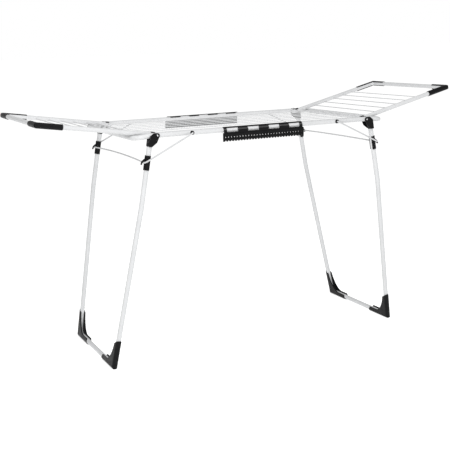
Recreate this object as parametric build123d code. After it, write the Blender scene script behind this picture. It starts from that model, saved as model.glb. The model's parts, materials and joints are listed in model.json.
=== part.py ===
from build123d import *

import math
import os

# A folding clothes drying rack, in millimetres. X runs along the rack, Y across it, Z up.
# The origin is on the floor, midway between the two hinge lines.

# Driving dimensions
HINGE_X = 476.0  # each hinge line to the middle of the rack
HINGE_Z = 924.5  # hinge lines and rails above the floor
RAIL_Y = 288.0  # rail centreline, and the upper legs under it
RAIL_R = 9.5
LEG_R = 10.0
WING_R = 9.0
TUBE_WALL = 0.8
CUT_PAST = 1.0  # how far cutters run on past what they cut
FIT_GAP = 0.05  # radial clearance of every running fit and push fit
WELD_DEPTH = 0.5  # how far a welded wire sinks into its tube

# Centre frame: a tube loop that dips a little at its ends, where the wings rest on it
FRAME_END_X = 563.0
FRAME_END_DROP = 6.8
FRAME_DIP_X = 500.0
FRAME_DIP_BEND_R = 60.0
FRAME_CORNER_R = 38.0
SLEEVE_HALF_LENGTH = 40.0
SLEEVE_WALL = 1.2

# Drying lines of the centre frame
LINE_R = 2.0
LINE_COUNT = 9
LINE_PITCH = 60.0
LINE_DROP = 2.0  # line axis below the rail axis

# Hinge pins and the black forks that carry the legs
PIN_R = 2.4
PIN_HEAD_R = 3.1
PIN_HEAD_T = 1.2
PIN_HEAD_ROUND = 0.85
PIN_HEAD_GAP = 0.2  # between a head and the piece under it
FORK_OUTER_Y = 303.0
FORK_INNER_Y = 273.5
FORK_CHEEK = 3.0
FORK_END = 46.0  # along the leg, where the tube takes over flush
FORK_PLUG = 30.0  # length of the plug inside the leg tube
FORK_COLLAR = 14.0  # length of the round collar above the end
FORK_SLOT_END = 22.0  # bottom of the slot for the rail, along the leg
# Discs that a cheek is stretched over: along the leg, outward of the hinge line, radius
FORK_DISCS = [
    (0.0, 0.0, 9.2),
    (2.5, 11.3, 10.3),
    (9.8, 23.5, 6.0),
    (44.0, 27.3, 2.0),
    (43.0, 17.5, 3.0),
    (20.0, 10.5, 14.0),
]

# Legs: each is one bent tube, which leans out from the hinge line
LEG_LEAN = 10.33  # degrees from the vertical
LEG_OFFSET = 21.5  # leg axis outward of the hinge line
LEG_TOP = FORK_END  # distances along the leg, from the hinge line
LEG_KNEE = 277.6
LEG_FOOT = 932.0
FOOT_Y = 222.5
KNEE_BEND_R = 90.0
FOOT_BEND_R = 32.0

# Black foot sheaths: round outside, with two lips and a web at the inner corner
FOOT_SHEATH_TOP = 823.0  # along the leg, at the outer side
FOOT_SHEATH_SLANT = 14.0  # the top is lower by this at the inner side
FOOT_SHEATH_END_Y = 94.0  # under the bar
FOOT_SHEATH_END_SLANT = 14.0
FOOT_SHEATH_R = 12.3
FOOT_LIP_LEG = 10.0  # from the leg's axis to the edge of the lips
FOOT_LIP_BAR = 12.3  # from the bar's axis to the edge of the lips
FOOT_SLOT_HALF = 7.0  # half the gap between the lips
FOOT_WEB_UP = 108.0  # reach of the web's inner edge up the leg and along the bar
FOOT_WEB_ALONG = 62.0
FOOT_TOE_R = 6.0

# Clips on the legs that hold the brace wire
CLIP_TOP = 79.5  # along the leg
CLIP_BOTTOM = 135.5
CLIP_R = 12.8
CLIP_LIP = 8.0  # how far the clip reaches round the leg, past its axis
HOOK_HALF_WIDTH = 6.0
# Outline of the hook round the wire: along the leg and outward, both from the wire's axis
HOOK_OUTLINE = [
    (-15.0, -4.5),
    (-10.0, 0.5),
    (-5.5, 4.6),
    (-2.0, 6.8),
    (5.0, 8.0),
    (10.0, 7.9),
    (9.5, 6.2),
    (-3.7, 3.8),
    (-3.7, -4.5),
]

# Brace wires
BRACE_R = 3.1
BRACE_X = 330.0
BRACE_Y = 306.5
BRACE_ALONG = 107.6  # where the wire crosses the leg, along the leg
BRACE_OUT = 16.5  # wire axis outward of the leg axis
BRACE_END_BEND_R = 4.5
BRACE_CORNER_R = 12.0
BRACE_END_Y = 283.0
BRACE_BOW_START = 15.0  # from the outer side of the wire to the start of its bow
BRACE_BOW = 10.0  # how far the middle of the wire bows back towards the bushes
BUSH_R = 8.0
BUSH_START_Y = 290.0
BUSH_FACE_Y = 301.0
BUSH_ROUND = 1.0

# Wings
WING_Y = 262.0
WING_BAR = 458.0  # outer bar from the hinge line
WING_STUB = 18.0  # tube that runs on past the hinge line
WING_CORNER_R = 20.0
WING_RISE_LEFT = 8.3  # degrees above the horizontal
WING_RISE_RIGHT = 13.7
WING_WIRE_R = 2.0
WING_WIRE_DROP = 3.0
WING_WIRES = [51.0, 100.0, 156.0, 213.0, 267.0, 320.0]
WING_SHEATH_START = 360.0
WING_SHEATH_END_Y = 178.0
WING_SHEATH_R = 11.3
WING_SHEATH_LIP = 6.0  # how far the lips reach past the tube's axis, towards the wires
WING_TOE_R = 8.0  # rounding of the square outer corner
PAD_INNER = -4.0  # ends of the pads on the side tubes, from the hinge line
PAD_OUTER = 12.0
PAD_T = 1.7
PAD_SPREAD = 50.0  # degrees from the top of the tube to each edge of a pad

# Combs for small items, clipped over the rails; heights are from the rail axis
COMB_TEETH = 28
COMB_PITCH = 12.72
COMB_FRONT_X = -17.0
COMB_BACK_X = -4.0
COMB_BACK_Y = 10.6  # inner and outer faces, outward of the rail axis
COMB_FACE_Y = 14.5
COMB_CLIP_R = 12.2
COMB_CLIP_LIP = 7.5  # where the clips end at the inner side of the rail
COMB_PLATE_TOP = 2.4
COMB_TOP_ROUND = 2.3
COMB_PLATE_LOW = -44.5
WINDOW_COUNT = 4
WINDOW_PITCH = 93.5
WINDOW_LENGTH = 49.5
WINDOW_LOW = -8.0
WINDOW_TOP = 8.5
COMB_RIB_TOP = -14.0  # the plate is thicker from here down
COMB_RIB_FACE_Y = 17.0
TOOTH_DEPTH = 6.5
TOOTH_TIP = 2.0  # width of a tooth's tip
PEG_HOLE_TOP = -25.5
PEG_HOLE_LOW = -36.0
PEG_HOLE_WIDTH = 6.4
PEG_HOLE_CORNER_R = 1.0
COMB_END_T = 4.0
COMB_END_TOP = -11.0

OVAL_PULL = 0.45  # how near a curve's handles stay to the corner of a quarter oval
PAD_ANGLE = math.radians(PAD_SPREAD)

PIVOT = Vector(HINGE_X, 0, HINGE_Z)
LEG_DOWN = Vector(math.sin(math.radians(LEG_LEAN)), 0, -math.cos(math.radians(LEG_LEAN)))
LEG_OUT = Vector(math.cos(math.radians(LEG_LEAN)), 0, math.sin(math.radians(LEG_LEAN)))

# Plane of the right leg: x along the leg from the hinge line, y across the rack, z outward
LEG_PLANE = Plane(origin=PIVOT + LEG_OUT * LEG_OFFSET, x_dir=LEG_DOWN, z_dir=LEG_OUT)


def front(part):
    """The mirror image of a part at the back of the rack."""
    return mirror(part, about=Plane.XZ)


def left(part):
    """The mirror image of a part at the right of the rack."""
    return mirror(part, about=Plane.YZ)


def rod(start, end, radius):
    """A round bar between two points."""
    start = Vector(start)
    end = Vector(end)
    plane = Plane(origin=start, z_dir=end - start)
    return plane * extrude(Circle(radius), (end - start).length)


def bent_tube(points, bends, radius, wall=None):
    """A tube or wire along straight runs joined by bends."""
    path = FilletPolyline(*points, radius=bends)
    section = Circle(radius)
    if wall:
        section -= Circle(radius - wall)
    return sweep(Plane(origin=path @ 0, z_dir=path % 0) * section, path=path)


def cross_hole(x, z, radius, low_y, high_y):
    """The cutter for a hole across the rack."""
    return rod((x, low_y, z), (x, high_y, z), radius)


def frame_half():
    """Right half of the centre frame, from the joint under the combs to the end tube."""
    end_z = HINGE_Z - FRAME_END_DROP
    points = [
        (0, -RAIL_Y, HINGE_Z),
        (FRAME_DIP_X, -RAIL_Y, HINGE_Z),
        (FRAME_END_X, -RAIL_Y, end_z),
        (FRAME_END_X, RAIL_Y, end_z),
        (FRAME_DIP_X, RAIL_Y, HINGE_Z),
        (0, RAIL_Y, HINGE_Z),
    ]
    bends = [FRAME_DIP_BEND_R, FRAME_CORNER_R, FRAME_CORNER_R, FRAME_DIP_BEND_R]
    tube = bent_tube(points, bends, RAIL_R, TUBE_WALL)
    for side in (-1, 1):
        inner_y = side * (RAIL_Y - RAIL_R - CUT_PAST)
        outer_y = side * (RAIL_Y + RAIL_R + CUT_PAST)
        tube -= cross_hole(HINGE_X, HINGE_Z, PIN_R, inner_y, outer_y)
        tube -= cross_hole(BRACE_X, HINGE_Z, BRACE_R + FIT_GAP, side * RAIL_Y, outer_y)
    return tube


def frame_sleeve():
    """Inner sleeve that joins the two frame halves at the back rail."""
    ring = Circle(RAIL_R - TUBE_WALL - FIT_GAP) - Circle(RAIL_R - TUBE_WALL - SLEEVE_WALL)
    start = Plane(origin=(-SLEEVE_HALF_LENGTH, RAIL_Y, HINGE_Z), z_dir=(1, 0, 0))
    return start * extrude(ring, 2 * SLEEVE_HALF_LENGTH)


def drying_line(index):
    """One lengthwise wire, welded to the two end tubes."""
    y = (index - (LINE_COUNT - 1) / 2) * LINE_PITCH
    above_tube_axis = FRAME_END_DROP - LINE_DROP
    reach = FRAME_END_X - math.sqrt(RAIL_R**2 - above_tube_axis**2) + WELD_DEPTH
    z = HINGE_Z - LINE_DROP
    return rod((-reach, y, z), (reach, y, z), LINE_R)


def pivot_rivet():
    """Pin of the back right hinge, through the fork, the rail and the wing tube."""
    inner_y = WING_Y - WING_R - PIN_HEAD_GAP
    outer_y = FORK_OUTER_Y + PIN_HEAD_GAP
    pin = cross_hole(HINGE_X, HINGE_Z, PIN_R, inner_y, outer_y)
    pin += cross_hole(HINGE_X, HINGE_Z, PIN_HEAD_R, inner_y - PIN_HEAD_T, inner_y)
    head = cross_hole(HINGE_X, HINGE_Z, PIN_HEAD_R, outer_y, outer_y + PIN_HEAD_T)
    rim = head.edges().filter_by(GeomType.CIRCLE).sort_by(Axis.Y)[-1]
    return pin + fillet(rim, PIN_HEAD_ROUND)


def brace_bush():
    """Collar on the back rail round the end of the right brace wire."""
    bush = cross_hole(BRACE_X, HINGE_Z, BUSH_R, BUSH_START_Y, BUSH_FACE_Y)
    bush -= rod(
        (BRACE_X - BUSH_R - CUT_PAST, RAIL_Y, HINGE_Z),
        (BRACE_X + BUSH_R + CUT_PAST, RAIL_Y, HINGE_Z),
        RAIL_R + FIT_GAP,
    )
    bush -= cross_hole(BRACE_X, HINGE_Z, BRACE_R + FIT_GAP, RAIL_Y, BUSH_FACE_Y + CUT_PAST)
    rim = bush.edges().filter_by(GeomType.CIRCLE).group_by(Axis.Y)[-1].sort_by(SortBy.RADIUS)
    return fillet(rim[-1], BUSH_ROUND)


def comb(centre_x):
    """Holder for small items, clipped over the back rail."""
    length = COMB_TEETH * COMB_PITCH
    # Drawn in a plane whose x points outward from the rail and whose y is up
    start = Plane(
        origin=(centre_x - length / 2, RAIL_Y, HINGE_Z), x_dir=(0, 1, 0), z_dir=(1, 0, 0)
    )
    rail = Circle(RAIL_R + FIT_GAP)
    reach = 2 * COMB_CLIP_R
    inner_side = Pos(-reach / 2, COMB_CLIP_LIP - reach / 2) * Rectangle(reach, reach)
    lower_half = Pos(0, -reach / 2) * Rectangle(2 * reach, reach)
    clip = Circle(COMB_CLIP_R) - rail - inner_side - lower_half
    arch = clip - Pos(-reach / 2, 0) * Rectangle(reach, 2 * reach)
    plate_height = COMB_PLATE_TOP - COMB_PLATE_LOW
    plate_t = COMB_FACE_Y - COMB_BACK_Y
    plate_middle = (COMB_BACK_Y + COMB_FACE_Y) / 2
    plate = Pos(plate_middle, COMB_PLATE_LOW + plate_height / 2) * Rectangle(plate_t, plate_height)
    top_corner = plate.vertices().sort_by_distance(Vector(COMB_FACE_Y, COMB_PLATE_TOP, 0))[0]
    plate = fillet(top_corner, COMB_TOP_ROUND)
    rib_t = COMB_RIB_FACE_Y - COMB_BACK_Y
    rib_height = COMB_RIB_TOP - COMB_PLATE_LOW
    rib = Pos(COMB_BACK_Y + rib_t / 2, COMB_PLATE_LOW + rib_height / 2) * Rectangle(rib_t, rib_height)
    body = start * extrude(arch + plate + rib - rail, length)

    # Windows, each with a clip over it that reaches across the crown of the rail
    window = Pos(reach, (WINDOW_LOW + WINDOW_TOP) / 2) * Rectangle(2 * reach, WINDOW_TOP - WINDOW_LOW)
    for k in range(WINDOW_COUNT):
        offset = length / 2 + (k - (WINDOW_COUNT - 1) / 2) * WINDOW_PITCH - WINDOW_LENGTH / 2
        body += start * (Pos(0, 0, offset) * extrude(clip, WINDOW_LENGTH))
        body -= start * (Pos(0, 0, offset) * extrude(window, WINDOW_LENGTH))

    # Teeth along the lower edge, and a row of tapered holes above them
    face = Plane(origin=(centre_x, RAIL_Y, HINGE_Z), x_dir=(-1, 0, 0), z_dir=(0, 1, 0))
    half_gap = (COMB_PITCH - TOOTH_TIP) / 2
    notch = Polyline(
        (-half_gap, COMB_PLATE_LOW - CUT_PAST),
        (0, COMB_PLATE_LOW + TOOTH_DEPTH),
        (half_gap, COMB_PLATE_LOW - CUT_PAST),
        close=True,
    )
    hole = Polyline(
        (-PEG_HOLE_WIDTH / 2, PEG_HOLE_TOP),
        (PEG_HOLE_WIDTH / 2, PEG_HOLE_TOP),
        (0, PEG_HOLE_LOW),
        close=True,
    )
    hole_face = make_face(hole)
    hole_face = fillet(hole_face.vertices(), PEG_HOLE_CORNER_R)
    cutters = []
    for k in range(COMB_TEETH):
        x = (k - (COMB_TEETH - 1) / 2) * COMB_PITCH
        cutters.append(face * (Pos(x, 0, 0) * extrude(hole_face, 2 * reach)))
        cutters.append(face * (Pos(x, 0, 0) * extrude(make_face(notch), 2 * reach)))
    body -= cutters

    end_height = COMB_END_TOP - COMB_PLATE_LOW
    end_y = RAIL_Y + COMB_BACK_Y + rib_t / 2
    end_z = HINGE_Z + COMB_PLATE_LOW + end_height / 2
    for side in (-1, 1):
        end_x = centre_x + side * (length + COMB_END_T) / 2
        body += Pos(end_x, end_y, end_z) * Box(COMB_END_T, rib_t, end_height)
    return body


def leg_tube():
    """Right leg: two side tubes and the foot bar in one bent tube."""
    points = [
        (LEG_TOP, -RAIL_Y),
        (LEG_KNEE, -RAIL_Y),
        (LEG_FOOT, -FOOT_Y),
        (LEG_FOOT, FOOT_Y),
        (LEG_KNEE, RAIL_Y),
        (LEG_TOP, RAIL_Y),
    ]
    bends = [KNEE_BEND_R, FOOT_BEND_R, FOOT_BEND_R, KNEE_BEND_R]
    return LEG_PLANE * bent_tube(points, bends, LEG_R, TUBE_WALL)


def leg_bore(gap):
    """The solid that clears the right leg tube by a given gap."""
    points = [
        (0, RAIL_Y),
        (LEG_KNEE, RAIL_Y),
        (LEG_FOOT, FOOT_Y),
        (LEG_FOOT, 0),
    ]
    return bent_tube(points, [KNEE_BEND_R, FOOT_BEND_R], LEG_R + gap)


def hinge_fork():
    """Fork of the back right hinge: two cheeks astride the rail, and a plug for the leg tube."""
    discs = [Pos(along, out) * Circle(radius) for along, out, radius in FORK_DISCS]
    cheek = make_hull([edge for disc in discs for edge in disc.edges()])
    plane = Plane(origin=(HINGE_X, FORK_INNER_Y, HINGE_Z), x_dir=LEG_DOWN, z_dir=(0, 1, 0))
    # The cheek plane's y points inward, so the outline is turned over
    width = FORK_OUTER_Y - FORK_INNER_Y
    fork = plane * extrude(mirror(cheek, about=Plane.XZ), width)
    collar_top = Plane(origin=(FORK_END - FORK_COLLAR, RAIL_Y, 0), z_dir=(1, 0, 0))
    fork += LEG_PLANE * (collar_top * extrude(Circle(LEG_R), FORK_COLLAR))
    # Room for the rail, both as the rack stands and with the leg folded flat under it
    slot_y = (FORK_OUTER_Y + FORK_INNER_Y) / 2
    slot = (4 * FORK_END, width - 2 * FORK_CHEEK, 4 * FORK_END)
    across = Plane(origin=PIVOT, x_dir=LEG_DOWN, z_dir=LEG_OUT)
    above_plug = Pos(FORK_SLOT_END - slot[0] / 2, slot_y, 0) * Box(*slot)
    inside_leg = Pos(0, slot_y, LEG_OFFSET - LEG_R - slot[2] / 2) * Box(*slot)
    fork -= across * (above_plug + inside_leg)
    plug = extrude(Circle(LEG_R - TUBE_WALL - FIT_GAP), FORK_COLLAR + FORK_PLUG)
    fork += LEG_PLANE * (collar_top * plug)
    bore_ends = (FORK_INNER_Y - CUT_PAST, FORK_OUTER_Y + CUT_PAST)
    fork -= cross_hole(HINGE_X, HINGE_Z, PIN_R + FIT_GAP, *bore_ends)
    return fork


def leg_clip():
    """Clip on the back right leg, with the hook that the brace wire rests in."""
    length = CLIP_BOTTOM - CLIP_TOP
    start = Plane(origin=(CLIP_TOP, RAIL_Y, 0), x_dir=(0, 1, 0), z_dir=(1, 0, 0))
    ring = Circle(CLIP_R) - Circle(LEG_R + FIT_GAP)
    # The clip is open towards the inside of the rack, where its lips end
    ring -= Pos(0, -CLIP_R - CLIP_LIP) * Rectangle(3 * CLIP_R, 2 * CLIP_R)
    clip = start * extrude(ring, length)
    # Hook in the plane of the leg's length and its outward direction
    hook = [(BRACE_ALONG + along, BRACE_OUT + out) for along, out in HOOK_OUTLINE]
    side_plane = Plane(origin=(0, RAIL_Y + HOOK_HALF_WIDTH, 0), x_dir=(1, 0, 0), z_dir=(0, -1, 0))
    clip += side_plane * extrude(make_face(Polyline(*hook, close=True)), 2 * HOOK_HALF_WIDTH)
    return LEG_PLANE * clip


def foot_sheath():
    """Sheath over the back corner of the right foot, open towards the inside of the leg."""
    run = Vector(LEG_FOOT - LEG_KNEE, FOOT_Y - RAIL_Y, 0).normalized()
    outward = Vector(-run.Y, run.X, 0)
    knee = Vector(LEG_KNEE, RAIL_Y, 0)

    def beside(along, offset):
        """A point at a distance along the leg and an offset from the tube's centreline."""
        edge = knee + outward * offset
        return edge + run * ((along - edge.X) / run.X)

    corner = Vector(LEG_FOOT, FOOT_Y, 0)
    above = beside(LEG_KNEE + KNEE_BEND_R, 0)
    beyond = Vector(LEG_FOOT, 0, 0)
    wrap = sweep(
        Plane(origin=above, z_dir=corner - above) * Circle(FOOT_SHEATH_R),
        path=Polyline(above, corner, beyond),
        transition=Transition.RIGHT,
    )
    # The lips and the web between them, whose inner edge is a quarter of an oval
    instep = LEG_FOOT - FOOT_LIP_BAR
    inner_corner = beside(instep, -FOOT_LIP_LEG)
    oval = [
        inner_corner - run * FOOT_WEB_UP,
        inner_corner - run * FOOT_WEB_UP * OVAL_PULL,
        inner_corner - Vector(0, FOOT_WEB_ALONG * OVAL_PULL, 0),
        inner_corner - Vector(0, FOOT_WEB_ALONG, 0),
    ]
    lips = [oval[3], Vector(instep, 0, 0), beyond, corner, above, beside(above.X, -FOOT_LIP_LEG), oval[0]]
    web = make_face([Polyline(*lips), Bezier(*oval)])
    sheath = wrap + Pos(0, 0, -FOOT_SHEATH_R) * extrude(web, 2 * FOOT_SHEATH_R)

    # Both ends are cut at a slant, and the toe is rounded
    sole = LEG_FOOT + FOOT_SHEATH_R
    reach = 2 * FOOT_SHEATH_R
    toe = beside(sole, FOOT_SHEATH_R)
    slope = FOOT_SHEATH_SLANT / reach
    end_slope = FOOT_SHEATH_END_SLANT / reach
    bounds = [
        beside(FOOT_SHEATH_TOP + slope * (FOOT_WEB_ALONG + FOOT_SHEATH_R), -FOOT_WEB_ALONG),
        beside(FOOT_SHEATH_TOP, FOOT_SHEATH_R),
        toe,
        Vector(sole, FOOT_SHEATH_END_Y, 0),
        Vector(sole - FOOT_WEB_ALONG, FOOT_SHEATH_END_Y + end_slope * FOOT_WEB_ALONG, 0),
    ]
    outline = make_face(Polyline(*bounds, close=True))
    outline = fillet(outline.vertices().sort_by_distance(toe)[0], FOOT_TOE_R)
    sheath &= Pos(0, 0, -reach) * extrude(outline, 2 * reach)

    # The slot between the lips follows the inner side of the tube
    within = [(LEG_KNEE, RAIL_Y), (LEG_FOOT, FOOT_Y), (LEG_FOOT, 0), (LEG_KNEE, 0)]
    slot = make_face(Polyline(*within, close=True))
    slot = fillet(slot.vertices().sort_by_distance(corner)[0], FOOT_BEND_R)
    sheath -= Pos(0, 0, -FOOT_SLOT_HALF) * extrude(slot, 2 * FOOT_SLOT_HALF)
    sheath = LEG_PLANE * (sheath - leg_bore(FIT_GAP))
    below_floor = Pos(HINGE_X, RAIL_Y, -HINGE_Z / 2) * Box(HINGE_Z, HINGE_Z, HINGE_Z)
    return sheath - below_floor


def brace():
    """Right brace: a bent wire hinged on both rails, which locks the leg open."""
    bar = LEG_PLANE.from_local_coords(Vector(BRACE_ALONG, 0, BRACE_OUT))
    hinge = Vector(BRACE_X, 0, HINGE_Z)
    across = Vector(0, 1, 0)
    # Between the corner bends the bar is one long arc
    bow_end = across * (BRACE_Y - BRACE_BOW_START)
    middle = bar - (bar - hinge).normalized() * BRACE_BOW
    bow = ThreePointArc(bar - bow_end, middle, bar + bow_end)
    arms = []
    for side, join, slope in ((-1, bow @ 0, bow % 0), (1, bow @ 1, bow % 1)):
        end = hinge + across * side * BRACE_END_Y
        elbow = hinge + across * side * BRACE_Y
        corner = join + slope * side * (BRACE_BOW_START / slope.Y)
        arms.append(FilletPolyline(end, elbow, corner, join, radius=[BRACE_END_BEND_R, BRACE_CORNER_R]))
    path = Wire([edge for piece in (arms[0], bow, arms[1]) for edge in piece.edges()])
    return sweep(Plane(origin=path @ 0, z_dir=path % 0) * Circle(BRACE_R), path=path)


def wing_tube():
    """Right wing's tube, lying level."""
    start_x = HINGE_X - WING_STUB
    bar_x = HINGE_X + WING_BAR
    points = [
        (start_x, -WING_Y, HINGE_Z),
        (bar_x, -WING_Y, HINGE_Z),
        (bar_x, WING_Y, HINGE_Z),
        (start_x, WING_Y, HINGE_Z),
    ]
    tube = bent_tube(points, [WING_CORNER_R, WING_CORNER_R], WING_R, TUBE_WALL)
    for side in (-1, 1):
        near_y = side * (WING_Y - WING_R - CUT_PAST)
        far_y = side * (WING_Y + WING_R + CUT_PAST)
        tube -= cross_hole(HINGE_X, HINGE_Z, PIN_R + FIT_GAP, near_y, far_y)
        stub_end = (start_x, side * WING_Y, HINGE_Z)
        tube += rod(stub_end, (start_x + TUBE_WALL, side * WING_Y, HINGE_Z), WING_R - TUBE_WALL / 2)
    return tube


def wing_wire(distance):
    """One cross wire of the right wing, welded between the side tubes."""
    x = HINGE_X + distance
    z = HINGE_Z - WING_WIRE_DROP
    reach = WING_Y - math.sqrt(WING_R**2 - WING_WIRE_DROP**2) + WELD_DEPTH
    return rod((x, -reach, z), (x, reach, z), WING_WIRE_R)


def wing_pad():
    """Thin black pad over the top of the right wing's back side tube, at the hinge."""
    start = Plane(origin=(HINGE_X + PAD_INNER, WING_Y, HINGE_Z), x_dir=(0, 1, 0), z_dir=(1, 0, 0))
    reach = 2 * WING_R
    edges = [(reach * math.sin(a), reach * math.cos(a)) for a in (-PAD_ANGLE, 0, PAD_ANGLE)]
    wedge = make_face(Polyline((0, 0), *edges, close=True))
    arc = (Circle(WING_R + PAD_T) - Circle(WING_R + FIT_GAP)) & wedge
    return start * extrude(arc, PAD_OUTER - PAD_INNER)


def wing_sheath():
    """Channel round the back corner of the right wing, square outside and open towards the wires."""
    start = Vector(HINGE_X + WING_SHEATH_START, WING_Y, HINGE_Z)
    corner = Vector(HINGE_X + WING_BAR, WING_Y, HINGE_Z)
    end = Vector(corner.X, WING_SHEATH_END_Y, HINGE_Z)
    disc = Plane(origin=start, z_dir=(1, 0, 0)) * Circle(WING_SHEATH_R)
    wrap = sweep(disc, path=Polyline(start, corner, end), transition=Transition.RIGHT)

    def rounded(low_x, low_y, tip_x, tip_y, radius):
        """A rectangular block whose edge at the corner of the wing is rounded."""
        tip = (tip_x, tip_y)
        face = make_face(Polyline((low_x, low_y), (tip_x, low_y), tip, (low_x, tip_y), close=True))
        face = fillet(face.vertices().sort_by_distance((*tip, 0))[0], radius)
        return extrude(Pos(0, 0, HINGE_Z) * face, 2 * WING_SHEATH_R, both=True)

    # The outer corner is rounded a little, then the tube's bore and the slot between the lips
    before = start - Vector(CUT_PAST, 0, 0)
    beyond = end - Vector(0, CUT_PAST, 0)
    outside = WING_SHEATH_R + FIT_GAP
    wrap &= rounded(before.X, beyond.Y, corner.X + outside, WING_Y + outside, WING_TOE_R)
    wrap -= bent_tube([before, corner, beyond], [WING_CORNER_R], WING_R + FIT_GAP)
    lip_x = corner.X - WING_SHEATH_LIP
    lip_y = WING_Y - WING_SHEATH_LIP
    return wrap - rounded(before.X, beyond.Y, lip_x, lip_y, WING_CORNER_R - WING_SHEATH_LIP)


def raised(part, rise):
    """A level wing part, turned up about the hinge line."""
    turn = Pos(*PIVOT) * Rot(0, -rise, 0) * Pos(*(-PIVOT))
    return turn * part


nodes = {}

half = frame_half()
nodes["frame_half_right"] = half
nodes["frame_half_left"] = left(half)
nodes["frame_sleeve_back"] = frame_sleeve()
nodes["frame_sleeve_front"] = front(frame_sleeve())
for index in range(LINE_COUNT):
    nodes[f"drying_line_{index + 1}"] = drying_line(index)
nodes["comb_back"] = comb(COMB_BACK_X)
nodes["comb_front"] = front(comb(COMB_FRONT_X))

for name, fitting in (("pivot_rivets", pivot_rivet()), ("brace_bushes", brace_bush())):
    right_pair = [fitting, front(fitting)]
    left_pair = [left(one) for one in right_pair]
    nodes[name] = Compound(children=right_pair + left_pair)

fork = hinge_fork()
clip = leg_clip()
sheath = foot_sheath()
leg_parts = {
    "leg_tube": leg_tube(),
    "hinge_fork_back": fork,
    "hinge_fork_front": front(fork),
    "brace_clip_back": clip,
    "brace_clip_front": front(clip),
    "foot_sheath_back": sheath,
    "foot_sheath_front": front(sheath),
    "brace_wire": brace(),
}
for name, part in leg_parts.items():
    nodes[f"{name}_right"] = part
    nodes[f"{name}_left"] = left(part)

pad = wing_pad()
corner = wing_sheath()
wing_parts = {
    "wing_tube": wing_tube(),
    "wing_pad_back": pad,
    "wing_pad_front": front(pad),
    "wing_sheath_back": corner,
    "wing_sheath_front": front(corner),
}
for number, distance in enumerate(WING_WIRES, start=1):
    wing_parts[f"wing_wire_{number}"] = wing_wire(distance)
for name, part in wing_parts.items():
    nodes[f"{name}_right"] = raised(part, WING_RISE_RIGHT)
    nodes[f"{name}_left"] = left(raised(part, WING_RISE_LEFT))

os.makedirs("parts", exist_ok=True)
for name, part in nodes.items():
    export_step(part, f"parts/{name}.step")
print(len(nodes), "nodes written")
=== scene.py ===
import json
import math

import bmesh
import bpy
from mathutils import Matrix, Vector


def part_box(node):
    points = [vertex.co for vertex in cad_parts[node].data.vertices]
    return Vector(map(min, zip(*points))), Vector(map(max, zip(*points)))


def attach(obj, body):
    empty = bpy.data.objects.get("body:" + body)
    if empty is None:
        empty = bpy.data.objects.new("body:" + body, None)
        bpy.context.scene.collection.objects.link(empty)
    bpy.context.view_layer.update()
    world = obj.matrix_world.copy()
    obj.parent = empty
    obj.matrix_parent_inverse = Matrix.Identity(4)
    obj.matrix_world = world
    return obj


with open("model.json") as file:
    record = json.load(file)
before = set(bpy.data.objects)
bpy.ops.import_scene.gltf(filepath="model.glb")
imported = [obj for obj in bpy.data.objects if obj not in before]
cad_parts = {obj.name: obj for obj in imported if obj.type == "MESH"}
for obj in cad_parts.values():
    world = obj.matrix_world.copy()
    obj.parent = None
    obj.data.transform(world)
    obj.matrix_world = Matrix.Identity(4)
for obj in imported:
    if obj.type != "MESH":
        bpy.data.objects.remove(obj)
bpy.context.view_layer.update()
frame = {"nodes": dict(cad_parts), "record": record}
NODES = frame["nodes"]

# Camera, in metres and degrees: standing to the front left, looking a little down
CAMERA_PLACE = Vector((-1.7192, -3.3132, 1.2837))
CAMERA_YAW = 23.576
CAMERA_PITCH = 12.228
CAMERA_ROLL = -1.759
CAMERA_LENS = 69.23
CAMERA_SHIFT_X = 0.1054

# Studio: how bright the surroundings look, and how much light they give
SKY_SEEN = 1.0
SKY_LIGHT = 0.58
# Area lights: name, place, the point each faces, size and power
STUDIO_LIGHTS = [
    ("key", (-1.9, -3.6, 2.9), (0, 0, 0.6), 1.3, 95),
    ("overhead", (-0.6, -1.6, 3.6), (0.1, 0, 0.8), 1.8, 45),
]
FLOOR_REACH = 60
FLOOR_TONE = 0.93
FLOOR_GLOW = 0.5

# Tube radii in metres, and how many wires are welded in
RAIL_R = 0.0095
WING_R = 0.009
LINE_COUNT = 9
WING_WIRE_COUNT = 6

# Weld beads: (radius from the wire's axis, height above the tube) of each ring round the wire
BEAD_RINGS = [
    (0.0019, 0.0018),
    (0.0024, 0.0013),
    (0.0030, 0.0006),
    (0.0036, 0.0002),
    (0.0040, -0.0003),
    (0.0019, -0.0003),
]
BEAD_STEPS = 16
# A bead is a little uneven round its wire: two broad lobes and five small ones
BEAD_BROAD = 0.09
BEAD_SMALL = 0.05
BEAD_SMALL_SHIFT = 2.3
BEAD_SIDE_SHIFT = 3

# Combs, in metres: distances from the rail's axis, and the windows along each comb
COMB_REACH = 0.017
COMB_CLIP_R = 0.0122
COMB_END_T = 0.004
WINDOW_COUNT = 4
WINDOW_PITCH = 0.0935
WINDOW_LENGTH = 0.0495
# Ledge section: (outward, up) from the rail's axis. Its first point stays put where it tapers
LEDGE_SECTION = [(0.0110, 0.0010), (0.0106, 0.0056), (0.0118, 0.0058), (0.0152, 0.0014), (0.0148, 0.0004)]
# Along a ledge: (distance from its start, or back from its end if negative, size of the section)
LEDGE_ENDS = [(0.0004, 0.86), (0.0016, 1.0), (-0.0016, 1.0), (-0.0004, 0.86)]
LEDGE_ROUND = 0.0003

# Softened edges of the moulded CAD nodes: a width in metres for each slot
EDGE_WIDTH = {"fitting_plastic": 0.0007, "comb_plastic": 0.0004}
EDGE_STEPS = 2
WELD_REACH = 0.00001
SHARP_ANGLE = math.radians(35)

# Materials: where most of a cloudy noise lies between 0 and 1, and the colours laid over in spots
NOISE_LOW = 0.3
NOISE_HIGH = 0.7
RUBBED_PAINT = (0.49, 0.49, 0.49, 1)
WIRE_DUST = (0.42, 0.42, 0.415, 1)
PLASTIC_SCUFF = (0.02, 0.02, 0.021, 1)
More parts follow.
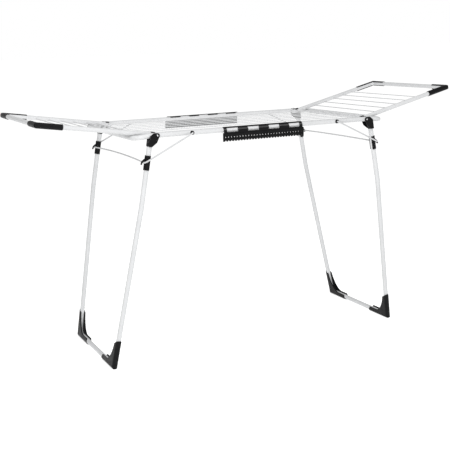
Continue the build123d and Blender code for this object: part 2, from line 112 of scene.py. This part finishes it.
# Sockets of the colour mix node
MIX_FACTOR, MIX_UNDER, MIX_OVER, MIX_RESULT = 0, 6, 7, 2


def make_camera():
    """The camera at the photograph's viewing angle."""
    yaw, pitch, roll = (math.radians(a) for a in (CAMERA_YAW, CAMERA_PITCH, CAMERA_ROLL))
    forward = Vector((math.sin(yaw) * math.cos(pitch), math.cos(yaw) * math.cos(pitch), -math.sin(pitch)))
    level = Vector((math.cos(yaw), -math.sin(yaw), 0))
    upright = level.cross(forward)
    right = math.cos(roll) * level + math.sin(roll) * upright
    up = math.cos(roll) * upright - math.sin(roll) * level
    data = bpy.data.cameras.new("camera")
    data.lens = CAMERA_LENS
    data.shift_x = CAMERA_SHIFT_X
    camera = bpy.data.objects.new("camera", data)
    turn = Matrix((right, up, -forward)).transposed().to_4x4()
    camera.matrix_world = Matrix.Translation(CAMERA_PLACE) @ turn
    bpy.context.scene.collection.objects.link(camera)
    bpy.context.scene.camera = camera


def area_light(name, place, target, size, power):
    """A square soft light that faces a point."""
    data = bpy.data.lights.new(name, "AREA")
    data.size = size
    data.energy = power
    light = bpy.data.objects.new(name, data)
    light.location = place
    light.rotation_euler = (Vector(target) - Vector(place)).to_track_quat("-Z", "Y").to_euler()
    bpy.context.scene.collection.objects.link(light)


def make_studio():
    """White surroundings, a plain pale floor and soft lights."""
    world = bpy.data.worlds.new("studio")
    world.use_nodes = True
    tree = world.node_tree
    background = tree.nodes["Background"]
    background.inputs["Color"].default_value = (1, 1, 1, 1)
    # Plain white behind the object, and a softer light from all round it
    ray = tree.nodes.new("ShaderNodeLightPath")
    strength = tree.nodes.new("ShaderNodeMapRange")
    strength.inputs["To Min"].default_value = SKY_LIGHT
    strength.inputs["To Max"].default_value = SKY_SEEN
    tree.links.new(ray.outputs["Is Camera Ray"], strength.inputs["Value"])
    tree.links.new(strength.outputs["Result"], background.inputs["Strength"])
    bpy.context.scene.world = world
    bpy.context.scene.view_settings.view_transform = "Standard"
    for light in STUDIO_LIGHTS:
        area_light(*light)
    mesh = bpy.data.meshes.new("floor")
    corners = [(x * FLOOR_REACH, y * FLOOR_REACH, 0) for x, y in ((-1, -1), (1, -1), (1, 1), (-1, 1))]
    mesh.from_pydata(corners, [], [(0, 1, 2, 3)])
    floor = bpy.data.objects.new("floor", mesh)
    bpy.context.scene.collection.objects.link(floor)
    pale = Material("floor_pale")
    pale.set("Base Color", (FLOOR_TONE, FLOOR_TONE, FLOOR_TONE, 1))
    pale.set("Roughness", 0.9)
    pale.set("Specular IOR Level", 0.1)
    pale.set("Emission Color", (1, 1, 1, 1))
    pale.set("Emission Strength", FLOOR_GLOW)
    floor.data.materials.append(pale.material)


class Material:
    """A procedural material, built up around one Principled shader."""

    def __init__(self, name):
        self.material = bpy.data.materials.new(name)
        self.material.use_nodes = True
        self.tree = self.material.node_tree
        self.shader = self.tree.nodes["Principled BSDF"]

    def set(self, socket, value):
        """A value that is the same all over."""
        self.shader.inputs[socket].default_value = value

    def node(self, kind, links=None, **values):
        """A new node, with sockets linked or set by name."""
        new = self.tree.nodes.new(kind)
        for name, value in values.items():
            setattr(new, name, value)
        for socket, source in (links or {}).items():
            if isinstance(source, bpy.types.NodeSocket):
                self.tree.links.new(source, new.inputs[socket])
            else:
                new.inputs[socket].default_value = source
        return new

    def place(self, stretch=(1, 1, 1)):
        """Where a point lies on the piece at rest, in metres, stretched along the axes."""
        place = self.node("ShaderNodeTexCoord").outputs["Object"]
        return self.node("ShaderNodeMapping", {"Vector": place, "Scale": stretch}).outputs["Vector"]

    def noise(self, place, scale, detail=3.0, roughness=0.5):
        """Cloudy noise, from 0 to 1, with a number of lumps to the metre."""
        links = {"Vector": place, "Scale": scale, "Detail": detail, "Roughness": roughness}
        return self.node("ShaderNodeTexNoise", links).outputs["Fac"]

    def ramp(self, factor, dark, light, low=NOISE_LOW, high=NOISE_HIGH):
        """A colour that runs from dark to light as factor runs from low to high."""
        node = self.node("ShaderNodeValToRGB", {"Fac": factor})
        for element, position, colour in zip(node.color_ramp.elements, (low, high), (dark, light)):
            element.position = position
            element.color = (*colour, 1)
        return node.outputs["Color"]

    def span(self, factor, low, high, start=0.0, end=1.0):
        """A number that runs from low to high as factor runs from start to end."""
        links = {"Value": factor, "From Min": start, "From Max": end, "To Min": low, "To Max": high}
        return self.node("ShaderNodeMapRange", links).outputs["Result"]

    def mix(self, factor, first, second):
        """One colour over another by a factor."""
        links = {MIX_FACTOR: factor, MIX_UNDER: first, MIX_OVER: second}
        return self.node("ShaderNodeMix", links, data_type="RGBA").outputs[MIX_RESULT]

    def math(self, operation, first, second):
        """Two numbers put together."""
        node = self.node("ShaderNodeMath", {0: first, 1: second}, operation=operation)
        return node.outputs["Value"]

    def bump(self, height, distance, strength=1.0, under=None):
        """A bumped normal, over another one if there is one."""
        links = {"Height": height, "Distance": distance, "Strength": strength}
        if under:
            links["Normal"] = under
        return self.node("ShaderNodeBump", links).outputs["Normal"]

    def drive(self, socket, source):
        """Links a shader socket to a source that varies over the surface."""
        self.tree.links.new(source, self.shader.inputs[socket])


def powder_coat():
    """White powder coat on steel tube: orange peel, slight clouding and a few rubbed spots."""
    coat = Material("powder_coat_white")
    place = coat.place()
    clouds = coat.noise(place, 14, 4)
    colour = coat.ramp(clouds, (0.495, 0.50, 0.506), (0.535, 0.54, 0.546))
    rubbed = coat.span(coat.noise(place, 55, 8, 0.65), 0, 1, 0.66, 0.74)
    coat.drive("Base Color", coat.mix(rubbed, colour, RUBBED_PAINT))
    gloss = coat.span(coat.noise(place, 90, 5), 0.30, 0.44, NOISE_LOW, NOISE_HIGH)
    coat.drive("Roughness", coat.math("ADD", gloss, coat.math("MULTIPLY", rubbed, 0.15)))
    peel = coat.noise(place, 620, 2)
    grit = coat.noise(place, 2600, 2)
    coat.drive("Normal", coat.bump(grit, 0.00004, 0.4, coat.bump(peel, 0.00012, 0.5)))
    coat.set("Specular IOR Level", 0.3)
    coat.set("Coat Weight", 0.05)
    coat.set("Coat Roughness", 0.25)
    return coat.material


def wire_coat(name, dark, light):
    """Smooth white plastic skin on a wire, with faint waves along it and a little dust."""
    skin = Material(name)
    place = skin.place()
    clouds = skin.noise(place, 22, 3)
    colour = skin.ramp(clouds, dark, light)
    dust = skin.span(skin.noise(place, 160, 6, 0.6), 0, 1, 0.6, 0.72)
    skin.drive("Base Color", skin.mix(dust, colour, WIRE_DUST))
    skin.drive("Roughness", skin.span(skin.noise(place, 130, 4), 0.26, 0.40, NOISE_LOW, NOISE_HIGH))
    waves = skin.noise(place, 240, 2)
    grain = skin.noise(place, 1900, 2)
    skin.drive("Normal", skin.bump(grain, 0.00003, 0.4, skin.bump(waves, 0.00012, 0.4)))
    skin.set("Specular IOR Level", 0.4)
    return skin.material


def moulded_plastic(name, dark, light, grain_scale, gloss_span=(0.36, 0.52), shine=0.1):
    """Black moulded plastic with a fine spark-eroded grain, flow marks and light scuffs."""
    plastic = Material(name)
    place = plastic.place()
    flow = plastic.noise(plastic.place((1, 1, 2.5)), 30, 4)
    colour = plastic.ramp(flow, dark, light)
    scratches = plastic.noise(plastic.place((1, 1, 9)), 95, 7, 0.7)
    scuffed = plastic.span(scratches, 0, 1, 0.66, 0.73)
    plastic.drive("Base Color", plastic.mix(scuffed, colour, PLASTIC_SCUFF))
    gloss = plastic.span(plastic.noise(place, 70, 5), *gloss_span, NOISE_LOW, NOISE_HIGH)
    plastic.drive("Roughness", plastic.math("ADD", gloss, plastic.math("MULTIPLY", scuffed, 0.12)))
    grain = plastic.noise(place, grain_scale, 3, 0.6)
    sink = plastic.noise(place, 120, 2)
    plastic.drive("Normal", plastic.bump(grain, 0.00006, 0.6, plastic.bump(sink, 0.0002, 0.25)))
    plastic.set("Specular IOR Level", shine)
    return plastic.material


def plated_steel(name, dark, light, rough):
    """Zinc-plated steel with fine turning marks and a little spangle."""
    steel = Material(name)
    place = steel.place()
    spangle = steel.noise(place, 420, 3)
    steel.drive("Base Color", steel.ramp(spangle, dark, light, 0.35, 0.65))
    smudges = steel.noise(place, 900, 4)
    steel.drive("Roughness", steel.span(smudges, rough, rough + 0.16, NOISE_LOW, NOISE_HIGH))
    turned = steel.noise(steel.place((1, 8, 1)), 1500, 2)
    steel.drive("Normal", steel.bump(turned, 0.00004, 0.5))
    steel.set("Metallic", 1.0)
    return steel.material


def soften(node, width):
    """Rounds the sharp edges of a moulded CAD node."""
    weld = node.modifiers.new("weld", "WELD")
    weld.merge_threshold = WELD_REACH
    bevel = node.modifiers.new("soft_edges", "BEVEL")
    bevel.width = width
    bevel.segments = EDGE_STEPS
    bevel.limit_method = "ANGLE"
    bevel.angle_limit = SHARP_ANGLE
    node.modifiers.new("even_shading", "WEIGHTED_NORMAL")


def bridge(mesh, ring, after):
    """Joins two rings of points with a band of faces."""
    count = len(ring)
    for k in range(count):
        step = (k + 1) % count
        mesh.faces.new((ring[k], ring[step], after[step], after[k]))


def new_piece(name, mesh, material):
    """Makes an object of a finished mesh."""
    bmesh.ops.recalc_face_normals(mesh, faces=mesh.faces)
    data = bpy.data.meshes.new(name)
    mesh.to_mesh(data)
    mesh.free()
    data.materials.append(material)
    piece = bpy.data.objects.new(name, data)
    bpy.context.scene.collection.objects.link(piece)
    return piece


def weld_bead(mesh, root, outward, along, height, tube_radius, phase):
    """Adds a small uneven weld bead round a wire where it runs into a tube.

    The wire's axis passes the tube's axis at the point root, at a height above it.
    """
    up = outward.cross(along)
    rings = []
    for radius, lift in BEAD_RINGS:
        ring = []
        for k in range(BEAD_STEPS):
            turn = 2 * math.pi * k / BEAD_STEPS
            uneven = 1 + BEAD_BROAD * math.sin(2 * turn + phase)
            uneven += BEAD_SMALL * math.sin(5 * turn + BEAD_SMALL_SHIFT * phase)
            sideways = radius * uneven * math.cos(turn)
            upward = radius * uneven * math.sin(turn)
            surface = math.sqrt(tube_radius**2 - (height + upward) ** 2)
            place = root + along * sideways + up * upward - outward * (surface + lift * uneven)
            ring.append(mesh.verts.new(place))
        rings.append(ring)
    for ring, after in zip(rings, rings[1:] + rings[:1]):
        bridge(mesh, ring, after)


def finish_beads(name, mesh, body):
    """Makes one riding piece of the beads gathered in a mesh."""
    for face in mesh.faces:
        face.smooth = True
    piece = new_piece(name, mesh, WHITE_TUBE)
    piece.modifiers.new("round", "SUBSURF").levels = 1
    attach(piece, body)


def middle_of(node):
    """The middle of a CAD node's box."""
    low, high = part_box(node)
    return (low + high) / 2


def line_welds(side, sign):
    """Welds of the drying lines on one end tube of the centre frame."""
    low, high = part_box(f"frame_half_{side}")
    axis_x = sign * (max(abs(low.x), abs(high.x)) - RAIL_R)
    axis_z = low.z + RAIL_R
    mesh = bmesh.new()
    for k in range(1, LINE_COUNT + 1):
        wire = middle_of(f"drying_line_{k}")
        root = Vector((axis_x, wire.y, wire.z))
        weld_bead(mesh, root, Vector((sign, 0, 0)), Vector((0, sign, 0)), wire.z - axis_z, RAIL_R, k + sign)
    finish_beads(f"line_welds_{side}", mesh, "root")


def wing_welds(side):
    """Welds of the cross wires on the two side tubes of one wing."""
    joints = {joint["name"]: joint for joint in frame["record"]["behaviour"]["joints"]}
    pivot = Vector(joints[f"{side}_wing_fold"]["pos_m"])
    wires = [middle_of(f"wing_wire_{k}_{side}") for k in range(1, WING_WIRE_COUNT + 1)]
    along = (wires[-1] - wires[0]).normalized()
    low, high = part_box(f"wing_tube_{side}")
    mesh = bmesh.new()
    for number, wire in enumerate(wires):
        above_axis = wire - pivot
        above_axis -= along * above_axis.dot(along)
        for sign, tube_y in ((-1, low.y + WING_R), (1, high.y - WING_R)):
            outward = Vector((0, sign, 0))
            height = above_axis.dot(outward.cross(along))
            root = Vector((wire.x, tube_y, wire.z))
            weld_bead(mesh, root, outward, along, height, WING_R, number + BEAD_SIDE_SHIFT * sign)
    finish_beads(f"wing_welds_{side}", mesh, f"{side}_wing")


def ledge(mesh, start, end, rail_y, rail_z, sign):
    """Adds one ledge to a mesh, which runs along the comb and tapers a little at both ends."""
    first_y, first_z = LEDGE_SECTION[0]
    rings = []
    for x, shrink in LEDGE_ENDS:
        place = start + x if x >= 0 else end + x
        ring = []
        for y, z in LEDGE_SECTION:
            y = first_y + (y - first_y) * shrink
            z = first_z + (z - first_z) * shrink
            ring.append(mesh.verts.new((place, rail_y + sign * y, rail_z + z)))
        rings.append(ring)
    for ring, after in zip(rings, rings[1:]):
        bridge(mesh, ring, after)
    mesh.faces.new(rings[0])
    mesh.faces.new(rings[-1])


def comb_ledges(side, sign):
    """Smooth slanted ledges along the top of one comb, between its windows and at its ends."""
    low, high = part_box(f"comb_{side}")
    centre_x = (low.x + high.x) / 2
    # The comb's front face stands furthest from the middle of the rack
    rail_y = sign * (max(abs(low.y), abs(high.y)) - COMB_REACH)
    rail_z = high.z - COMB_CLIP_R
    half = (high.x - low.x) / 2 - COMB_END_T
    stops = [centre_x - half]
    for k in range(WINDOW_COUNT):
        middle = centre_x + (k - (WINDOW_COUNT - 1) / 2) * WINDOW_PITCH
        stops += [middle - WINDOW_LENGTH / 2, middle + WINDOW_LENGTH / 2]
    stops.append(centre_x + half)
    mesh = bmesh.new()
    for start, end in zip(stops[::2], stops[1::2]):
        ledge(mesh, start, end, rail_y, rail_z, sign)
    # The ledges wear the lighter copy of the black plastic: a painted highlight along the top of the comb
    piece = new_piece(f"comb_ledges_{side}", mesh, BLACK_LEDGE_PAINTED_HIGHLIGHT)
    bevel = piece.modifiers.new("soft_edges", "BEVEL")
    bevel.width = LEDGE_ROUND
    bevel.segments = EDGE_STEPS
    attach(piece, "root")


def dress(node, material):
    """Puts one material all over a CAD node."""
    node.data.materials.clear()
    node.data.materials.append(material)


make_camera()
make_studio()

WHITE_TUBE = powder_coat()
WHITE_WIRE = wire_coat("wire_coat_white", (0.47, 0.475, 0.48), (0.52, 0.525, 0.53))
BRACE_WIRE = wire_coat("brace_coat_white", (0.42, 0.424, 0.43), (0.47, 0.474, 0.48))
DEEP_BLACK = ((0.0035, 0.0035, 0.004), (0.006, 0.006, 0.0065))
BLACK_FITTING = moulded_plastic("black_fitting_plastic", *DEEP_BLACK, 2400)
BLACK_COMB = moulded_plastic("black_comb_plastic", *DEEP_BLACK, 3000)
# The ledge plastic is the same black plastic made lighter in colour (0.02 to 0.03 against 0.0035 to 0.006).
# This is a painted highlight along the ledges, on top of their real extra gloss and shine.
BLACK_LEDGE_PAINTED_HIGHLIGHT = moulded_plastic(
    "black_ledge_painted_highlight", (0.02, 0.02, 0.0205), (0.03, 0.03, 0.0305), 3000, (0.22, 0.34), 0.6
)
RIVET_STEEL = plated_steel("rivet_zinc", (0.62, 0.63, 0.65), (0.80, 0.80, 0.81), 0.22)
SLEEVE_STEEL = plated_steel("sleeve_steel", (0.40, 0.40, 0.41), (0.52, 0.52, 0.53), 0.35)
LOOKS = {
    "tube_paint": WHITE_TUBE,
    "line_wire": WHITE_WIRE,
    "brace_wire": BRACE_WIRE,
    "fitting_plastic": BLACK_FITTING,
    "comb_plastic": BLACK_COMB,
    "rivet": RIVET_STEEL,
    "sleeve_steel": SLEEVE_STEEL,
}
for part in frame["record"]["subparts"]:
    dress(NODES[part["node"]], LOOKS[part["material_slot"]])
    if part["material_slot"] in EDGE_WIDTH:
        soften(NODES[part["node"]], EDGE_WIDTH[part["material_slot"]])

for side, sign in (("left", -1), ("right", 1)):
    line_welds(side, sign)
    wing_welds(side)
for side, sign in (("front", -1), ("back", 1)):
    comb_ledges(side, sign)
